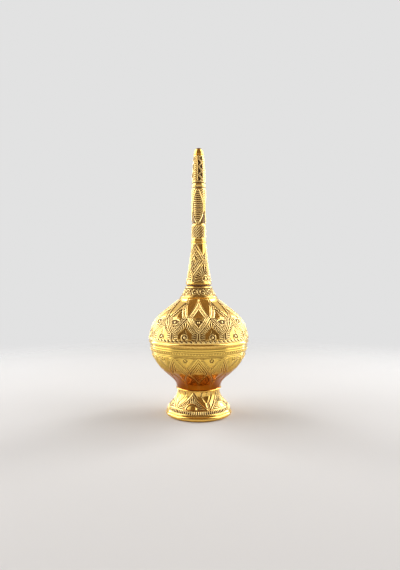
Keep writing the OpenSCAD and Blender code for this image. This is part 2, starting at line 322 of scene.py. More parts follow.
def foot_relief(skin):
    low, high = 11.3, 27.9
    pitch_angle = TURN / FOOT_ARCHES
    arch_angle = np.radians(34.5)
    base, top = skin.level(low), skin.level(high)
    width = arch_angle * (1.0 - np.clip((skin.v - base) / (top - base), 0.0, 1.3))
    lean = np.sqrt(1.0 + (skin.r * pitch_angle / 2 / (top - base)) ** 2)
    depth = (width - np.abs(skin.motif(FOOT_ARCHES, FOOT_ARCH_TURN))) * skin.r / lean

    # Arches filled with the ribs of a shell, over a half disc
    disc_z, disc_radius = 11.6, 6.1
    x = skin.across(FOOT_ARCHES, FOOT_ARCH_TURN)
    y = skin.v - skin.level(disc_z)
    away = np.hypot(x, y)
    relief = ridge(depth, at=0.8, half=0.8, rise=0.75)
    relief += groove(depth, at=1.9, half=0.5, drop=0.6) + groove(depth, at=-0.5, half=0.55, drop=0.6)
    shell = ease(2.2, 2.8, depth) * ease(disc_radius + 0.8, disc_radius + 1.4, away)
    relief += (1.3 * shell_ribs(x, y, 12.0) - 0.8) * shell
    relief += ridge(away, at=disc_radius, half=0.75, rise=0.55)
    relief -= 0.35 * ease(disc_radius - 0.6, disc_radius - 1.2, away)

    # Hearts between the arches, with a raised line round each
    heart_z, lobe_radius, lobe_x, heart_height = 25.4, 2.75, 2.55, 8.6
    x = np.abs(skin.from_gap(FOOT_ARCHES, FOOT_ARCH_TURN))
    y = skin.v - skin.level(heart_z)
    lobes = lobe_radius - np.hypot(x - lobe_x, y)
    tail = (lobe_x + lobe_radius) * np.clip(1.0 + y / heart_height, 0.0, 1.0) ** 0.75 - x
    heart = np.where(y < 0.0, 0.8 * tail, lobes)
    hearts = 0.35 * ease(0.0, 2.0, heart) + groove(heart, at=-0.55, half=0.6, drop=0.7)
    hearts += ridge(heart, at=-2.0, half=0.8, rise=0.3)
    relief += hearts * ease(0.6, 1.4, -depth)
    relief *= 0.85 * between(skin.z, 11.4, 28.2, soft=0.3)

    # Flutes round the flare, between two plain lines
    flutes = dashes(skin.across(FOOT_FLUTES), TURN * skin.r / FOOT_FLUTES, half=0.85) - 0.45
    relief += flutes * between(skin.z, 7.2, 9.9, soft=0.35)
    relief += skin.ring(10.8, half=0.55, rise=0.45) + skin.ring(6.3, half=0.45, rise=0.3)
    return relief


def collar_relief(skin):
    """A row of rings round small balls, with a wavy link between neighbours."""
    middle_z, ring_radius = 136.8, 2.75
    x = skin.from_gap(COLLAR_SCROLLS)
    y = skin.v - skin.level(middle_z)
    pitch = TURN * skin.r / COLLAR_SCROLLS
    rings = bead(np.hypot(x, y), ring_radius, 0.95)
    balls = ball(x - 0.5, y + 0.4, 1.0)
    wave = nearest(x - pitch / 2, pitch) - 0.9 * np.sin(y * 1.25)
    links = bead(wave, 0.0, 0.8) * ease(3.9, 3.4, np.abs(y))
    scrolls = np.maximum(np.maximum(rings, balls), links)
    relief = (1.2 * scrolls - 0.6) * between(skin.z, 132.6, 141.2)
    relief += skin.ring(132.2, half=0.4, rise=0.3) + skin.ring(141.7, half=0.4, rise=0.35)
    return relief


def lower_spire_relief(skin):
    low, corner, high = 155.0, 172.5, 189.3
    turn = SPIRE_LOZENGE_TURN
    depth, along = lozenges(skin, SPIRE_LOZENGES, turn, low, corner, high)
    x = skin.across(SPIRE_LOZENGES, turn)
    middle = skin.v - skin.level(corner)
    below = ease(0.8, -0.8, middle)

    # Ribs along the lower edges, a hatched band along the upper ones, and a boss
    relief = ridge(depth, at=0.8, half=0.8, rise=0.7)
    relief += groove(depth, at=-0.4, half=0.45, drop=0.5) + groove(depth, at=1.9, half=0.4, drop=0.5)
    relief += (dashes(depth - 0.8, pitch=2.2, half=0.85) - 0.5) * below * between(depth, 1.9, 7.2)
    upper = 0.7 * dashes(along + 0.7 * depth, pitch=2.6, half=0.9) * between(depth, 2.3, 3.4)
    upper += ridge(depth, at=4.4, half=0.7, rise=0.65) + groove(depth, at=5.5, half=0.5, drop=0.6)
    relief += upper * (1.0 - below)
    boss_y = middle - 1.6
    relief += ball(x, boss_y, 1.7) + groove(np.hypot(x, boss_y), at=2.3, half=0.5, drop=0.5)

    # Shells below, where neighbouring lozenges draw apart
    shell_z = 151.6
    outside = -depth
    under = ease(0.2, -0.6, middle) * ease(148.2, 149.0, skin.z)
    x = skin.from_gap(SPIRE_LOZENGES, turn)
    y = skin.v - skin.level(shell_z)
    away = np.hypot(x, y)
    shells = ridge(outside, at=1.0, half=0.6, rise=0.6)
    shells += (1.2 * shell_ribs(x, y, 15.0) - 0.7) * ease(1.8, 2.4, outside) * ease(4.3, 4.9, away)
    shells += ridge(away, at=3.7, half=0.75, rise=0.7) + 1.1 * ball(x, y, 1.7)
    relief += shells * under

    # Plain leaves between the tops of the lozenges, under the joint
    over = ease(-0.2, 0.6, middle) * ease(191.0, 190.4, skin.z)
    leaves = ridge(outside, at=1.3, half=0.6, rise=0.6) + groove(outside, at=2.2, half=0.4, drop=0.5)
    relief += leaves * over
    relief += skin.ring(147.7, half=0.4, rise=0.35) + skin.ring(190.9, half=0.4, rise=0.35)
    return relief * ease(147.0, 147.5, skin.z)


def slanted_cuts(skin):
    """A band of slanted cuts above the joint."""
    cuts, pitch = 17, 3.0
    climb = skin.v - cuts * pitch / TURN * skin.turn
    return (dashes(climb, pitch, half=1.1) - 0.6) * between(skin.z, 197.6, 210.6, soft=0.3)


def long_leaves(skin):
    """Long pointed leaves with ribs across them, and a deep cut between their feet."""
    foot, tip = skin.level(214.2), skin.level(251.8)
    leaf_angle = np.radians(39.0)
    rise = np.clip((skin.v - foot) / (tip - foot), 0.0, 1.0)
    width = leaf_angle * np.minimum(1.0, np.minimum(3.4 * rise, 2.4 * (1.0 - rise))) ** 0.7
    depth = (width - np.abs(skin.motif(SPIRE_LEAVES, SPIRE_LEAF_TURN))) * skin.r
    outside = -depth
    relief = (dashes(skin.v, pitch=2.35, half=0.9) - 0.55) * ease(0.2, 0.6, depth)
    relief += ridge(depth, at=-0.7, half=0.7, rise=0.7) + groove(depth, at=0.1, half=0.35, drop=0.7)
    from_gap = np.abs(skin.from_gap(SPIRE_LEAVES, SPIRE_LEAF_TURN))
    wedge = ease(1.5, 1.9, outside) * ease(228.0, 226.0, skin.z - 0.9 * from_gap)
    veins = ease(1.8, 2.3, outside) * (1.0 - wedge)
    relief += (0.8 * dashes(skin.v + 0.8 * from_gap, pitch=2.9, half=1.0) - 0.35) * veins
    # The wedge lies below DEEP, so it is painted dark: tarnish and painted shade
    relief -= 1.1 * wedge
    return relief * between(skin.z, 213.4, 252.0, soft=0.3)


def winding_stems(skin):
    """Stems that wind up to the cap on a deep ground, with hatched stripes between them."""
    low, high = 261.2, 289.4
    sway, bend = 1.5, 9.4
    x = skin.across(SPIRE_STEMS, SPIRE_STEM_TURN)
    stem = ease(1.1, 0.7, np.abs(x - sway * np.sin(TURN * (skin.z - low) / bend)))
    # The ground lies below DEEP, so it is painted dark with tarnish and painted shade
    relief = (0.45 * stem - 1.1 * (1.0 - stem)) * ease(2.9, 2.5, np.abs(x))
    relief += ridge(np.abs(x), at=3.2, half=0.5, rise=0.3)
    hatching = 0.7 * dashes(skin.v - 0.5 * np.abs(x), pitch=2.6, half=0.9) - 0.3
    relief += hatching * ease(3.6, 4.0, np.abs(x))
    return relief * between(skin.z, low, high, soft=0.3)


def upper_spire_relief(skin):
    relief = slanted_cuts(skin) + long_leaves(skin) + winding_stems(skin)
    for height, half, rise in ((196.6, 0.5, 0.4), (211.8, 0.6, 0.5), (212.9, 0.4, -0.4), (290.0, 0.5, 0.4)):
        relief += skin.ring(height, half, rise)

    # Two sunk bands that are dark with tarnish and painted shade, and a raised bright one between them
    for low, high in ((253.6, 254.8), (258.8, 260.0)):
        relief -= 1.1 * between(skin.z, low, high, soft=0.2)
    return relief + ridge(skin.z, at=256.8, half=1.3, rise=0.5)


def thread_relief(skin):
    """A right-hand thread, which a turn of the spire carries up by one pitch."""
    along = nearest(skin.z - THREAD_PITCH * skin.turn / TURN, THREAD_PITCH)
    return ridge(along, at=0.0, half=0.8, rise=0.9) * between(skin.z, 127.6, 142.6, soft=0.5)


def joint_relief(skin):
    """Two fine grooves."""
    return skin.ring(193.0, half=0.3, rise=-0.25) + skin.ring(193.9, half=0.3, rise=-0.25)


# Lines read from the turned CAD solids

def span(node):
    """Bottom, top and widest radius in mm of a turned CAD node."""
    low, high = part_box(node)
    return low.z / MM, high.z / MM, high.x / MM


def wall_radius(node, height, from_axis=False):
    """Radius in mm of a turned CAD node's wall, seen from outside or from the axis."""
    azimuth, well_outside = 0.55, 0.2
    aim = Vector((np.cos(azimuth), np.sin(azimuth), 0.0))
    start = Vector((0.0, 0.0, height * MM))
    if not from_axis:
        start += aim * well_outside
        aim = -aim
    hit, place, _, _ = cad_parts[node].ray_cast(start, aim)
    if not hit:
        raise ValueError(f"no wall of {node} at {height:.2f} mm")
    return Vector((place.x, place.y)).length / MM


def eased_line(line, reach):
    """The line with its corners rounded over about reach rows, and its ends kept."""
    weights = np.exp(-0.5 * (np.arange(-3 * reach, 3 * reach + 1) / reach) ** 2)
    weights /= weights.sum()
    radii = line[:, 0]
    pad = 3 * reach
    before = 2 * radii[0] - radii[pad:0:-1]
    after = 2 * radii[-1] - radii[-2:-pad - 2:-1]
    padded = np.concatenate([before, radii, after])
    return np.column_stack([np.convolve(padded, weights, "valid"), line[:, 1]])


def outside_line(node, low, high, ground, rounding=1.2, step=0.25):
    """The CAD node's outer wall between two heights, set in as far as ground says."""
    heights = np.arange(low, high + step / 2, step)
    heights[-1] = high
    margin = 0.02
    clear_of_ends = np.clip(heights, low + margin, high - margin)
    radii = np.array([wall_radius(node, z) for z in clear_of_ends]) - np.interp(heights, *zip(*ground))
    return eased_line(np.column_stack([radii, heights]), max(1, round(rounding / step)))


def inside_line(node, high, low, count, ground):
    """The CAD node's inner wall, from high down to low, set in as the outer one is."""
    heights = np.linspace(high, low, count)
    return [(wall_radius(node, z, from_axis=True) - np.interp(z, *zip(*ground)), z) for z in heights]


def evenly(line, spacing):
    """The line with rows at even distances along it."""
    line = np.asarray(line, float)
    way = np.concatenate([[0.0], np.cumsum(np.hypot(*np.diff(line, axis=0).T))])
    rows = max(2, round(way[-1] / spacing) + 1)
    at = np.linspace(0.0, way[-1], rows)
    return np.column_stack([np.interp(at, way, line[:, k]) for k in (0, 1)])


def round_corner(centre_r, centre_z, radius, start, stop, count):
    """Points on an arc in the section, with its angles in degrees up from the radius."""
    angles = np.radians(np.linspace(start, stop, count))
    return [(centre_r + radius * np.cos(a), centre_z + radius * np.sin(a)) for a in angles]


# Meshes

def section_normals(line):
    way = np.gradient(line, axis=0)
    way /= np.hypot(*way.T)[:, None]
    return np.column_stack([way[:, 1], -way[:, 0]])


def blurred(field, rows, columns):
    """The field averaged over a window of cells, closed round the axis."""
    for axis, half in ((0, rows), (1, columns)):
        total = np.zeros_like(field)
        for shift in range(-half, half + 1):
            moved = np.roll(field, shift, axis=axis)
            if axis == 0 and shift > 0:
                moved[:shift] = field[:1]
            if axis == 0 and shift < 0:
                moved[shift:] = field[-1:]
            total += moved
        field = total / (2 * half + 1)
    return field


def points_on(radii, heights, columns):
    """Places in metres, row by column, from radii and heights in mm."""
    turn = (np.arange(columns) * TURN / columns)[None, :]
    place = np.empty((len(radii), columns, 3))
    place[..., 0] = radii * np.sin(turn)
    place[..., 1] = -radii * np.cos(turn)
    place[..., 2] = heights
    return place * MM


def grid_mesh(name, place, hollow, proud):
    """A closed mesh from rows that go up the outside and down the inside of a section."""
    rows, columns, _ = place.shape
    index = np.arange(rows * columns).reshape(rows, columns)
    up = np.roll(index, -1, axis=0)
    quads = np.stack([index, np.roll(index, -1, axis=1), np.roll(up, -1, axis=1), up], axis=-1)
    mesh = bpy.data.meshes.new(name)
    mesh.vertices.add(rows * columns)
    mesh.vertices.foreach_set("co", place.reshape(-1).astype(np.float32))
    mesh.loops.add(quads.size)
    mesh.loops.foreach_set("vertex_index", quads.reshape(-1).astype(np.int32))
    mesh.polygons.add(rows * columns)
    mesh.polygons.foreach_set("loop_start", np.arange(0, quads.size, 4, dtype=np.int32))
    mesh.update(calc_edges=True)
    mesh.shade_smooth()
    for label, field in (("hollow", hollow), ("proud", proud)):
        layer = mesh.attributes.new(label, "FLOAT", "POINT")
        values = np.zeros((rows, columns), np.float32)
        values[:len(field)] = field
        layer.data.foreach_set("value", values.reshape(-1))
    return mesh


def new_object(name, data):
    made = bpy.data.objects.new(name, data)
    bpy.context.scene.collection.objects.link(made)
    return made


def finished(name, stands_for, mesh, body, material):
    piece = new_object(name, mesh)
    mesh.materials.append(material)
    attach(piece, body)
    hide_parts(*stands_for)
    return piece


def dark_and_rubbed(skin, drawn, darkening, broad_share):
    """How dark and how rubbed the metal is, from how the ornament lies in what is round it. The dark stands
    for tarnish in the hollows and for painted shade there.
    """
    row = skin.v[-1, 0] / (len(skin.line) - 1)
    cell = TURN * skin.r.mean() / skin.columns

    def averaged(field, reach):
        return blurred(field, max(1, round(reach / row)), max(1, round(reach / cell)))

    near = averaged(drawn, NEAR_REACH)
    wide = averaged(near, WIDE_REACH)
    hollow = ease(*darkening, near - drawn) + broad_share * ease(0.1, 0.5, wide - drawn)
    hollow += ease(0.7, 1.0, -drawn / DEEP)
    return np.clip(hollow, 0.0, 1.0), np.clip((drawn - near) / RUBBED_RISE, 0.0, 1.0)


def outward(place, row):
    """Directions that point outwards along one row of a grid of places."""
    along = place[row + 1] - place[row - 1]
    around = np.roll(place[row], -1, axis=0) - np.roll(place[row], 1, axis=0)
    normals = np.cross(around, along)
    return normals / np.linalg.norm(normals, axis=1)[:, None]


def turned_shell(names, stands_for, body, material, outer, inner, columns, relief=None, cut=None,
                 darkening=(0.0, 0.2), broad_share=0.35):
    """One closed shell about the axis, or two that meet at the height cut.

    outer runs from bottom to top, inner from top to bottom, both in mm. The metal starts to darken
    and is dark at the depths in darkening, below what is next to it, and broad hollows by a share."""
    skin = Skin(outer, columns)
    drawn = relief(skin) if relief else np.zeros((len(outer), columns))
    heights = EMBOSSING * drawn
    across, upward = section_normals(outer).T
    radii = np.minimum(skin.r + heights * across[:, None], WIDEST)
    place = points_on(radii, np.minimum(skin.z + heights * upward[:, None], HIGHEST), columns)
    # hollow is the dark of tarnish and painted shade in the hollows; proud is where the metal is rubbed
    # bright
    hollow, proud = dark_and_rubbed(skin, drawn, darkening, broad_share)
    inner = np.asarray(inner, float)

    def shell(name, first, last, walls):
        back = points_on(walls[:, :1], walls[:, 1:], columns)
        whole = np.concatenate([place[first:last], back])
        mesh = grid_mesh(name, whole, hollow[first:last], proud[first:last])
        return finished(name, stands_for, mesh, body, material)

    if cut is None:
        return [shell(names[0], 0, len(outer), inner)]

    # Both halves face the same way at the seam, so that it doesn't show
    seam = int(np.argmin(np.abs(skin.z[:, 0] - cut)))
    seam_z = skin.z[seam, 0]
    seam_r = np.interp(-seam_z, -inner[:, 1], inner[:, 0])
    lower_walls = np.vstack([[seam_r, seam_z], inner[inner[:, 1] < seam_z]])
    upper_walls = np.vstack([inner[inner[:, 1] > seam_z], [seam_r, seam_z]])
    made = [shell(names[0], 0, seam + 1, lower_walls), shell(names[1], seam, len(outer), upper_walls)]
    for piece, start in ((made[0], seam * columns), (made[1], 0)):
        normals = np.zeros((len(piece.data.vertices), 3))
        normals[start:start + columns] = outward(place, seam)
        piece.data.normals_split_custom_set_from_vertices(normals.tolist())
    return made


def turned_ring(name, stands_for, body, material, section, columns):
    """A plain closed ring from its whole section."""
    section = np.asarray(section, float)
    zeros = np.zeros((len(section), columns), np.float32)
    mesh = grid_mesh(name, points_on(section[:, :1], section[:, 1:], columns), zeros, zeros)
    return finished(name, stands_for, mesh, body, material)


# Shader groups that several finishes share

def new_node(tree, kind, **settings):
    made = tree.nodes.new(kind)
    for label, value in settings.items():
        setattr(made, label, value)
    return made


def set_inputs(made, **values):
    for label, value in values.items():
        made.inputs[label.replace("_", " ")].default_value = value
    return made


def group_with(name, inputs, outputs):
    """A shader node group with named inputs and outputs."""
    tree = bpy.data.node_groups.new(name, "ShaderNodeTree")
    for label, kind, value in inputs:
        socket = tree.interface.new_socket(label, in_out="INPUT", socket_type=kind)
        socket.default_value = value
    for label, kind in outputs:
        tree.interface.new_socket(label, in_out="OUTPUT", socket_type=kind)
    return tree, new_node(tree, "NodeGroupInput"), new_node(tree, "NodeGroupOutput")


# Numbers of a Mix node's first, second and result sockets, whose names several kinds share
MIX_SOCKETS = {"RGBA": (6, 7, 2), "FLOAT": (2, 3, 0)}


def mixed(tree, kind, share, first, second):
    """The result of mixing two sockets or plain values, by a share that is a socket."""
    made = new_node(tree, "ShaderNodeMix", data_type=kind)
    tree.links.new(share, made.inputs["Factor"])
    for number, source in zip(MIX_SOCKETS[kind], (first, second)):
        if isinstance(source, bpy.types.NodeSocket):
            tree.links.new(source, made.inputs[number])
        else:
            made.inputs[number].default_value = source
    return made.outputs[MIX_SOCKETS[kind][2]]


def mapped(tree, source, given, wanted, interpolation="LINEAR"):
    """A socket's values with the given range turned into the wanted one."""
    made = new_node(tree, "ShaderNodeMapRange", interpolation_type=interpolation)
    set_inputs(made, From_Min=given[0], From_Max=given[1], To_Min=wanted[0], To_Max=wanted[1])
    tree.links.new(source, made.inputs["Value"])
    return made.outputs["Result"]


def reckoned(tree, operation, first, second, clamp=False):
    """The result of a Math node."""
    made = new_node(tree, "ShaderNodeMath", operation=operation, use_clamp=clamp)
    tree.links.new(first, made.inputs[0])
    tree.links.new(second, made.inputs[1])
    return made.outputs["Value"]


def object_place(tree):
    """Places in the object's own frame."""
    return new_node(tree, "ShaderNodeTexCoord").outputs["Object"]


def noise(tree, place, **values):
    made = set_inputs(new_node(tree, "ShaderNodeTexNoise"), **values)
    tree.links.new(place, made.inputs["Vector"])
    return made


def relief_wear_and_shade_group():
    """Gold that is dark in the hollows of the ornament, with tarnish and painted shade, and rubbed bright on
    its edges.
    """
    tree, given, result = group_with(
        "relief wear",
        [("Metal", "NodeSocketColor", (1.0, 0.7, 0.3, 1.0)),
         ("Tarnish", "NodeSocketColor", (0.2, 0.08, 0.02, 1.0)),
         ("Rubbed", "NodeSocketColor", (1.0, 0.85, 0.5, 1.0)),
         ("Tarnish Amount", "NodeSocketFloat", 1.0),
         ("Rubbed Amount", "NodeSocketFloat", 0.6),
         ("Gloss Roughness", "NodeSocketFloat", 0.11),
         ("Tarnish Roughness", "NodeSocketFloat", 0.45)],
        [("Color", "NodeSocketColor"), ("Roughness", "NodeSocketFloat"), ("Metallic", "NodeSocketFloat")])
    link = tree.links.new
    hollow = new_node(tree, "ShaderNodeAttribute", attribute_name="hollow").outputs["Fac"]
    proud = new_node(tree, "ShaderNodeAttribute", attribute_name="proud").outputs["Fac"]
    clouds = noise(tree, object_place(tree), Scale=90.0, Detail=4.0, Roughness=0.6).outputs["Fac"]
    # The hollow attribute darkens the gold: tarnish in the hollows, and painted shade in them as well
    dark = reckoned(tree, "MULTIPLY", hollow, mapped(tree, clouds, (0.3, 0.7), (0.8, 1.0)))
    dark = reckoned(tree, "MULTIPLY", dark, given.outputs["Tarnish Amount"], clamp=True)
    bright = reckoned(tree, "MULTIPLY", proud, given.outputs["Rubbed Amount"], clamp=True)
    metal = mixed(tree, "RGBA", bright, given.outputs["Metal"], given.outputs["Rubbed"])
    link(mixed(tree, "RGBA", dark, metal, given.outputs["Tarnish"]), result.inputs["Color"])
    rough = mixed(tree, "FLOAT", dark, given.outputs["Gloss Roughness"], given.outputs["Tarnish Roughness"])
    smears = mapped(tree, clouds, (0.3, 0.7), (-0.03, 0.04))
    link(reckoned(tree, "ADD", rough, smears, clamp=True), result.inputs["Roughness"])
    link(mapped(tree, dark, (0.0, 1.0), (1.0, 0.45)), result.inputs["Metallic"])
    return tree


def hand_work_group():
    """The slight unevenness that hand polishing leaves: long soft waves and fine scratches."""
    tree, given, result = group_with(
        "hand work",
        [("Wave Scale", "NodeSocketFloat", 70.0),
         ("Scratch Scale", "NodeSocketFloat", 900.0),
         ("Scratch Share", "NodeSocketFloat", 0.25)],
        [("Height", "NodeSocketFloat")])
    link = tree.links.new
    place = object_place(tree)
    waves = noise(tree, place, Detail=2.0, Roughness=0.5)
    link(given.outputs["Wave Scale"], waves.inputs["Scale"])
    stretch = set_inputs(new_node(tree, "ShaderNodeMapping"), Scale=(1.0, 1.0, 0.12))
    link(place, stretch.inputs["Vector"])
    scratches = noise(tree, stretch.outputs["Vector"], Detail=3.0, Roughness=0.7)
    link(given.outputs["Scratch Scale"], scratches.inputs["Scale"])
    fields = waves.outputs["Fac"], scratches.outputs["Fac"]
    link(mixed(tree, "FLOAT", given.outputs["Scratch Share"], *fields), result.inputs["Height"])
    return tree


RELIEF_WEAR_AND_SHADE = relief_wear_and_shade_group()
HAND_WORK = hand_work_group()


def group_node(tree, group, **values):
    made = new_node(tree, "ShaderNodeGroup", node_tree=group)
    return set_inputs(made, **values)


def new_material(name):
    made = bpy.data.materials.new(name)
    made.use_nodes = True
    return made, made.node_tree, made.node_tree.nodes["Principled BSDF"]


def add_bump(tree, shader, height, strength, distance):
    bump = set_inputs(new_node(tree, "ShaderNodeBump"), Strength=strength, Distance=distance)
    tree.links.new(height, bump.inputs["Height"])
    tree.links.new(bump.outputs["Normal"], shader.inputs["Normal"])


def metal_finish(name, metal, tarnish_and_shade, rubbed, gloss=0.11, rubbed_amount=0.6, low_metal=None, fade=None):
    """Polished metal. Its tarnish colour is the dark of the hollows, tarnish and painted shade together.
    Where low_metal is given, the tone turns into it between the heights in fade.
    """
    made, tree, shader = new_material(name)
    wear = group_node(tree, RELIEF_WEAR_AND_SHADE, Metal=metal, Tarnish=tarnish_and_shade, Rubbed=rubbed,
                      Gloss_Roughness=gloss, Rubbed_Amount=rubbed_amount)
    if low_metal:
        parts = new_node(tree, "ShaderNodeSeparateXYZ")
        tree.links.new(object_place(tree), parts.inputs["Vector"])
        height = mapped(tree, parts.outputs["Z"], fade, (0.0, 1.0), "SMOOTHSTEP")
        tree.links.new(mixed(tree, "RGBA", height, low_metal, metal), wear.inputs["Metal"])
    for label, socket in (("Color", "Base Color"), ("Roughness", "Roughness"), ("Metallic", "Metallic")):
        tree.links.new(wear.outputs[label], shader.inputs[socket])
    add_bump(tree, shader, group_node(tree, HAND_WORK).outputs["Height"], strength=0.05, distance=0.002)
    return made


def leather_finish():
    made, tree, shader = new_material("oiled leather")
    grain = set_inputs(new_node(tree, "ShaderNodeTexVoronoi"), Scale=1400.0)
    tree.links.new(object_place(tree), grain.inputs["Vector"])
    dark, light = (0.16, 0.07, 0.022, 1.0), (0.24, 0.11, 0.035, 1.0)
    shade = mixed(tree, "RGBA", grain.outputs["Distance"], dark, light)
    tree.links.new(shade, shader.inputs["Base Color"])
    add_bump(tree, shader, grain.outputs["Distance"], strength=0.4, distance=0.0002)
    set_inputs(shader, Roughness=0.55)
    return made


# Each finish's second colour is the dark of its hollows: tarnish and painted shade
GOLD = metal_finish("gold plate", (1.0, 0.62, 0.145, 1.0), (0.06, 0.018, 0.002, 1.0),
                    (1.0, 0.82, 0.42, 1.0))
# The bowl's gold turns dark amber below the heights in fade: painted shade towards the waist, where the dark
# table is mirrored
BOWL_GOLD_WITH_PAINTED_SHADE = metal_finish("bowl gold with painted shade", (1.0, 0.66, 0.13, 1.0), (0.07, 0.018, 0.002, 1.0),
                          (1.0, 0.74, 0.22, 1.0), low_metal=(0.40, 0.11, 0.006, 1.0), fade=(0.044, 0.065),
                          rubbed_amount=0.4)
# The cap is dark brown above the heights in fade and gold below: painted shade on the top of the dome
CAP_GOLD_WITH_PAINTED_SHADE = metal_finish("cap gold with painted shade", (0.20, 0.07, 0.01, 1.0), (0.10, 0.03, 0.003, 1.0), (1.0, 0.8, 0.4, 1.0),
                        low_metal=(1.0, 0.60, 0.14, 1.0), fade=(0.2975, 0.2993))
PLAIN_BRASS = metal_finish("turned brass", (0.78, 0.60, 0.30, 1.0), (0.2, 0.12, 0.04, 1.0),
                           (0.9, 0.75, 0.45, 1.0), gloss=0.28)
LEATHER = leather_finish()


# The flask's pieces

def make_foot():
    """Spun foot, closed by a plate with a hole for the stud."""
    outer = evenly(outside_line("foot", FOOT_EDGE, FOOT_TOP - EDGE, FOOT_GROUND), 0.36)
    bore = wall_radius("foot", FOOT_TOP - 0.6, from_axis=True)
    plate_z, plate_radius, edge_radius = 27.4, 14.0, 35.2
    inner = [(outer[-1, 0] - 0.25, FOOT_TOP), (plate_radius, FOOT_TOP), (bore, FOOT_TOP), (bore, plate_z)]
    inner += [(plate_radius, plate_z)] + inside_line("foot", plate_z - 0.35, FOOT_EDGE + 0.6, 9, FOOT_GROUND)
    inner += [(edge_radius, FOOT_EDGE)]
    turned_shell(["foot_flare"], ["foot"], "flask", GOLD, outer, inner, columns=1008,
                 relief=foot_relief)


def make_base_ring():
    """Heavy plain ring under the foot's edge."""
    _, top, widest = span("base_ring")
    inside = wall_radius("base_ring", top / 2, from_axis=True)
    bulge, bevel = top / 2, 0.4
    section = [(inside, bevel), (inside + bevel, 0.0)]
    section += round_corner(widest - bulge, bulge, bulge, -90, 62, 26)
    section += [(widest - 1.5, top - 0.25), (widest - 1.9, top - 0.1), (widest - 2.4, top)]
    section += [(inside + bevel, top), (inside, top - bevel)]
    turned_ring("base_bead", ["base_ring"], "flask", GOLD, section, columns=720)


def make_foot_ring():
    """Thin bead between foot and bowl."""
    bottom, top, widest = span("foot_ring")
    bulge, inside = (top - bottom) / 2, widest - 4.5
    section = [(inside, bottom)]
    section += round_corner(widest - bulge, bottom + bulge, bulge, -90, 90, 17)
    section += [(inside, top)]
    turned_ring("waist_bead", ["foot_ring"], "flask", GOLD, section, columns=720)


def make_bowl():
    """Lower shell of the body, with a hole for the stud in its floor."""
    outer = evenly(outside_line("bowl", BOWL_FLOOR, BOWL_RIM - EDGE, BOWL_GROUND), 0.42)
    floor_z, corner_radius = 31.8, 23.0
    bore = wall_radius("bowl", BOWL_FLOOR + 0.6, from_axis=True)
    wall = wall_radius("bowl", BOWL_RIM - 1.4, from_axis=True)
    inner = [(wall + 0.6, BOWL_RIM), (wall, BOWL_RIM - EDGE)]
    inner += inside_line("bowl", BOWL_RIM - 2.9, floor_z + 1.2, 14, BOWL_GROUND)
    inner += [(corner_radius, floor_z), (bore, floor_z), (bore, BOWL_FLOOR), (outer[0, 0] - 0.3, BOWL_FLOOR)]
    # Its finish is painted darker towards the waist as shade
    turned_shell(["bowl_lower", "bowl_upper"], ["bowl"], "flask", BOWL_GOLD_WITH_PAINTED_SHADE, outer, inner,
                 columns=1152, relief=bowl_relief, cut=53.5, darkening=(0.15, 0.5), broad_share=0.2)


def make_girdle():
    """Moulding round the body: a plain bead, with a rope above it that the relief raises."""
    seat, near, away, proud = 55.6, 0.02, 0.06, 0.12
    bead_r, bead_z, bulge = 54.25, 82.5, 2.1
    line = [(seat + near, 80.5), (seat + away, 80.95)]
    line += round_corner(bead_r, bead_z, bulge, -44, 44, 22)
    line += [(seat + away, 84.2), (seat + near, 84.55), (seat + proud, 84.8)]
    line += [(seat + proud, 88.35), (seat + near, 88.6)]
    inner = [(seat - near, height) for height in (88.2, 86.0, 83.0, 81.0)]
    turned_shell(["girdle_rope"], ["girdle_ring"], "flask", GOLD, evenly(line, 0.2), inner,
                 columns=1344, relief=girdle_relief)


def make_shoulder():
    """Upper shell of the body, plain where the girdle covers it."""
    behind_girdle = [(wall_radius("shoulder", BOWL_RIM + 0.2), BOWL_RIM)]
    dressed = outside_line("shoulder", 88.0, SHOULDER_TOP - EDGE, SHOULDER_GROUND)
    outer = np.vstack([behind_girdle, evenly(dressed, 0.375)])
    neck, rim_radius = 14.6, 54.3
    inner = [(outer[-1, 0] - 0.35, SHOULDER_TOP), (neck, SHOULDER_TOP), (neck, SHOULDER_TOP - 1.2)]
    inner += inside_line("shoulder", SHOULDER_TOP - 1.8, BOWL_RIM + 0.6, 14, SHOULDER_GROUND)
    inner += [(rim_radius, BOWL_RIM)]
    # A large broad share paints the hollow-ground panels dark: tarnish and painted shade
    turned_shell(["shoulder_lower", "shoulder_upper"], ["shoulder"], "flask", GOLD, outer,
                 inner, columns=1152, relief=shoulder_relief, cut=112.0, darkening=(0.0, 0.15),
                 broad_share=0.65)


def make_collar():
    """Collar that reaches down into the shoulder, with a bore for the threaded plug."""
    line = outside_line("neck_collar", SHOULDER_TOP, COLLAR_MOUTH - EDGE, COLLAR_GROUND,
                        rounding=0.25, step=0.1)
    outer = evenly(line, 0.2)
    bore, skirt, foot_z, bevel = 10.05, 15.3, 128.2, 0.3
    inner = [(outer[-1, 0] - 0.35, COLLAR_MOUTH), (10.4, COLLAR_MOUTH), (bore, COLLAR_MOUTH - bevel)]
    inner += [(bore, foot_z + bevel), (10.3, foot_z), (skirt, foot_z), (skirt + 0.05, SHOULDER_TOP - 0.05)]
    turned_shell(["collar_scrolls"], ["neck_collar"], "flask", GOLD, outer, inner,
                 columns=720, relief=collar_relief)


# The washer and the spire's pieces

def make_washer():
    """Leather washer with soft edges, set a little back from the spire's lip."""
    bottom, top, widest = span("neck_washer")
    inside = wall_radius("neck_washer", (bottom + top) / 2, from_axis=True)
    set_back, soft = 0.7, 0.4
    middle = widest - set_back - soft
    section = [(inside, bottom)] + round_corner(middle, bottom + soft, soft, -90, 0, 5)
    section += round_corner(middle, top - soft, soft, 0, 90, 5) + [(inside, top)]
    turned_ring("seal_washer", ["neck_washer"], "washer", LEATHER, section, columns=360)


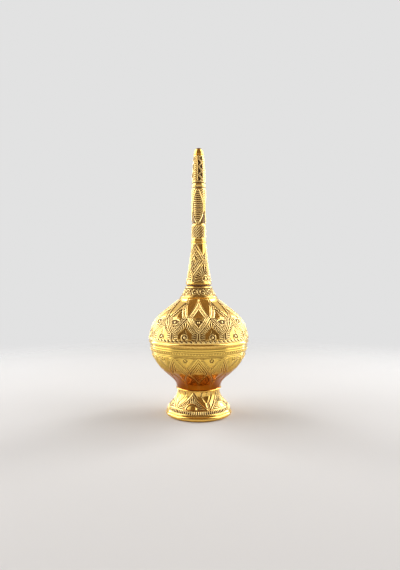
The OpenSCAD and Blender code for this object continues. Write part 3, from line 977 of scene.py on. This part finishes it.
def make_spigot():
    """The threaded plug under the spire, with a flange that is held in the spire's mouth."""
    bottom, top, widest = span("spire_spigot")
    shank = wall_radius("spire_spigot", bottom + 1.0)
    bore = wall_radius("spire_spigot", bottom + 1.0, from_axis=True)
    root, bevel = shank - 0.6, 0.3
    thread = [(root - 0.5, bottom), (root, bottom + 0.5), (root, SPIRE_MOUTH - 0.02)]
    flange = [(widest - bevel, SPIRE_MOUTH), (widest, SPIRE_MOUTH + bevel), (widest, top - bevel)]
    outer = np.vstack([evenly(thread, 0.14), flange, [(widest - bevel, top)]])
    inner = [(bore, height) for height in (top, SPIRE_MOUTH, (bottom + SPIRE_MOUTH) / 2, bottom)]
    turned_shell(["threaded_plug"], ["spire_spigot"], "spire", PLAIN_BRASS, outer, inner,
                 columns=360, relief=thread_relief)


def make_lower_spire():
    """Flared tube, with a wide mouth below that holds the plug's flange."""
    line = outside_line("lower_spire", SPIRE_MOUTH + EDGE / 2, JOINT_FOOT - EDGE, SPIRE_GROUND,
                        rounding=0.5, step=0.1)
    outer = evenly(line, 0.26)
    mouth, mouth_top = 13.85, 147.8
    inner = [(outer[-1, 0] - 0.25, JOINT_FOOT), (outer[-1, 0] - 1.0, JOINT_FOOT)]
    inner += inside_line("lower_spire", JOINT_FOOT - 0.8, 149.5, 9, SPIRE_GROUND)
    inner += [(mouth, mouth_top), (mouth, SPIRE_MOUTH), (outer[0, 0] - 0.25, SPIRE_MOUTH)]
    turned_shell(["spire_flare"], ["lower_spire"], "spire", GOLD, outer, inner,
                 columns=480, relief=lower_spire_relief)


def make_spire_joint():
    """Ring between the two tubes, with a sleeve that reaches into both."""
    bottom, top, _ = span("spire_joint")
    line = outside_line("spire_joint", JOINT_FOOT + EDGE / 2, JOINT_TOP - EDGE / 2, JOINT_GROUND,
                        rounding=0.1, step=0.05)
    set_in = 0.95
    bore = wall_radius("spire_joint", 193.4, from_axis=True) - set_in
    lower_sleeve = wall_radius("spire_joint", JOINT_FOOT - 4.3) - set_in
    upper_sleeve = wall_radius("spire_joint", JOINT_TOP + 3.5) - set_in
    inner = [(upper_sleeve, JOINT_TOP), (upper_sleeve, top), (bore, top), (bore, bottom)]
    inner += [(lower_sleeve, bottom), (lower_sleeve, JOINT_FOOT)]
    turned_shell(["spire_knop"], ["spire_joint"], "spire", GOLD, evenly(line, 0.12), inner,
                 columns=360, relief=joint_relief)


def drilled(piece, holes, radius, reach=6.0, sides=24):
    """Drill holes of one radius in mm; each is the middle of its drill in mm and a direction."""
    drills = bmesh.new()
    for start, way in holes:
        turned = Vector(way).to_track_quat("Z", "Y").to_matrix().to_4x4()
        place = Matrix.Translation(Vector(start) * MM) @ turned
        bmesh.ops.create_cone(drills, cap_ends=True, segments=sides, radius1=radius * MM, radius2=radius * MM,
                              depth=reach * MM, matrix=place)
    mesh = bpy.data.meshes.new("drills")
    drills.to_mesh(mesh)
    drills.free()
    cutter = new_object("drills", mesh)
    cut = piece.modifiers.new("holes", "BOOLEAN")
    cut.operation = "DIFFERENCE"
    cut.solver = "EXACT"
    cut.object = cutter
    whole = bpy.data.meshes.new_from_object(piece.evaluated_get(bpy.context.evaluated_depsgraph_get()))
    piece.modifiers.clear()
    piece.data = whole
    bpy.data.objects.remove(cutter)


def make_cap():
    """Domed cap with one middle hole and a ring of six."""
    rim_z, crown_rise, wall, plug_foot = 299.5, 0.45, 0.8, 288.6
    line = outside_line("sprinkler_cap", CAP_SEAT, rim_z, SPIRE_GROUND, rounding=0.15, step=0.1)
    shares = np.linspace(1.0, 0.1, 8)[1:]
    crown = [(line[-1, 0] * share, rim_z + crown_rise * (1.0 - share * share)) for share in shares]
    outer = evenly(np.vstack([line, crown]), 0.16)

    # Inside, every fourth row of the outside is set in by the wall
    inner = [(outer[-1, 0], HIGHEST - wall)] + [(max(0.4, r - wall), z - wall) for r, z in outer[-4:6:-4]]
    inner += [(outer[0, 0] - wall - 0.6, plug_foot), (outer[0, 0] - wall, plug_foot)]
    inner += [(outer[0, 0] - wall, CAP_SEAT - 0.05)]
    # Its finish is painted dark on top as shade
    piece = turned_shell(["pierced_cap"], ["sprinkler_cap"], "spire", CAP_GOLD_WITH_PAINTED_SHADE, outer, inner,
                         columns=192)[0]

    # The ring of holes leans out from one point on the axis
    ring_holes, lean, centre_z, from_centre, hole_radius = 6, np.radians(38.0), 294.9, 4.6, 0.55
    holes = [((0.0, 0.0, 299.0), (0.0, 0.0, 1.0))]
    for step in range(ring_holes):
        turn = TURN * step / ring_holes
        way = (np.sin(lean) * np.sin(turn), -np.sin(lean) * np.cos(turn), np.cos(lean))
        holes.append((Vector((0.0, 0.0, centre_z)) + from_centre * Vector(way), way))
    drilled(piece, holes, hole_radius)


def make_upper_spire():
    """Long tube that tapers towards the cap."""
    line = outside_line("upper_spire", JOINT_TOP + EDGE / 2, CAP_SEAT - EDGE, SPIRE_GROUND, rounding=0.8)
    outer = evenly(line, 0.31)
    inner = [(outer[-1, 0] - 0.3, CAP_SEAT)]
    inner += inside_line("upper_spire", CAP_SEAT - 3.6, JOINT_TOP + 0.7, 12, SPIRE_GROUND)
    inner += [(outer[0, 0] - 1.0, JOINT_TOP), (outer[0, 0] - 0.25, JOINT_TOP)]
    turned_shell(["spire_stem"], ["upper_spire"], "spire", GOLD, outer, inner,
                 columns=300, relief=upper_spire_relief, darkening=(0.05, 0.3), broad_share=0.3)


make_foot()
make_base_ring()
make_foot_ring()
make_bowl()
make_girdle()
make_shoulder()
make_collar()
make_washer()
make_spigot()
make_lower_spire()
make_spire_joint()
make_upper_spire()
make_cap()

# CAD pieces that are hidden from most sides keep their shape
for cad_name in ("foot_stud", "foot_washer", "foot_nut", "joining_band"):
    for material_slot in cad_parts[cad_name].material_slots:
        material_slot.material = PLAIN_BRASS


# Camera, floor, background and lamps, all in metres

CAMERA_PLACE = (0.0015, -0.4885, 0.1446)
CAMERA_LENS = 27.16

# The lamps and cards face this point in the middle of the object
AIM = Vector((0.0, 0.0, 0.14))

# The floor thins out between these distances from the object
FLOOR_FADE = (0.25, 0.75)

# Strength of the world as light on plain surfaces, and as it is seen and mirrored
ROOM_LIGHT = 0.32
BACKDROP = 0.76

# Lamps that stand on both sides: kind, place on the right, width, height, radiance left and right
LAMPS = (("window", (0.85, 0.1, 0.45), 1.1, 1.3, 1.5, 1.4),
         ("strip", (0.72, 0.5, 0.5), 0.16, 1.3, 5.0, 7.0),
         ("skylight", (0.72, -0.05, 1.1), 0.55, 1.3, 1.2, 1.1))


def make_camera():
    """Level camera at the photograph's angle."""
    camera = new_object("camera", bpy.data.cameras.new("camera"))
    camera.location = CAMERA_PLACE
    camera.rotation_euler = (np.pi / 2, 0.0, 0.0)
    camera.data.sensor_fit = "VERTICAL"
    camera.data.sensor_height = 36.0
    camera.data.lens = CAMERA_LENS
    camera.data.clip_start = 0.01
    bpy.context.scene.camera = camera


def floor_finish():
    """Pale paint that thins out towards the floor's edge, so that no horizon shows."""
    made, tree, shader = new_material("pale floor")
    set_inputs(shader, Base_Color=(0.74, 0.74, 0.74, 1.0), Roughness=0.6, Specular_IOR_Level=0.0)
    away = new_node(tree, "ShaderNodeVectorMath", operation="LENGTH")
    tree.links.new(object_place(tree), away.inputs[0])
    thinning = mapped(tree, away.outputs["Value"], FLOOR_FADE, (1.0, 0.0), "SMOOTHSTEP")
    tree.links.new(thinning, shader.inputs["Alpha"])
    return made


def make_floor():
    bpy.ops.mesh.primitive_circle_add(vertices=96, radius=1.6, fill_type="NGON")
    floor = bpy.context.object
    floor.name = "floor"
    floor.data.materials.append(floor_finish())


def set_up(thing, place):
    """Put a lamp or card at a place, with its face to the object, where no camera sees it."""
    thing.location = place
    thing.rotation_euler = (AIM - Vector(place)).to_track_quat("-Z", "Y").to_euler()
    thing.visible_camera = False


def make_lamp(name, place, width, height, radiance):
    """A soft box whose face shines with the given radiance, where 1 is white."""
    lamp = new_object(name, bpy.data.lights.new(name, "AREA"))
    lamp.data.shape = "RECTANGLE"
    lamp.data.size = width
    lamp.data.size_y = height
    lamp.data.energy = radiance * np.pi * width * height
    set_up(lamp, place)


def make_background():
    """A pale room that lights plain surfaces less than it shows itself."""
    world = bpy.data.worlds.new("studio")
    bpy.context.scene.world = world
    world.use_nodes = True
    tree = world.node_tree
    shown = set_inputs(tree.nodes["Background"], Color=(1.0, 1.0, 1.0, 1.0))
    path = new_node(tree, "ShaderNodeLightPath").outputs
    seen = reckoned(tree, "MAXIMUM", path["Is Camera Ray"], path["Is Glossy Ray"])
    seen = reckoned(tree, "MAXIMUM", seen, path["Is Transmission Ray"])
    strength = mapped(tree, seen, (0.0, 1.0), (ROOM_LIGHT, BACKDROP))
    tree.links.new(strength, shown.inputs["Strength"])


def dark_card_finish():
    made, _, shader = new_material("dark card")
    set_inputs(shader, Base_Color=(0.30, 0.20, 0.12, 1.0), Roughness=0.9)
    return made


DARK_CARD = dark_card_finish()


def make_dark_card(name, place, width, height):
    """A dark card outside the picture, so that the polished metal has something dark to show."""
    mesh = bpy.data.meshes.new(name)
    x, y = width / 2, height / 2
    mesh.from_pydata([(-x, -y, 0), (x, -y, 0), (x, y, 0), (-x, y, 0)], [], [(0, 1, 2, 3)])
    card = new_object(name, mesh)
    mesh.materials.append(DARK_CARD)
    set_up(card, place)


make_camera()
make_floor()
make_background()
for kind, (x, y, z), width, height, left, right in LAMPS:
    make_lamp(f"left {kind}", (-x, y, z), width, height, left)
    make_lamp(f"right {kind}", (x, y, z), width, height, right)
make_dark_card("card behind the camera", (0.0, -1.15, 0.85), width=4.6, height=1.5)
make_dark_card("card overhead", (0.0, -0.05, 1.3), width=1.15, height=2.4)

bpy.context.scene.view_settings.view_transform = "Standard"
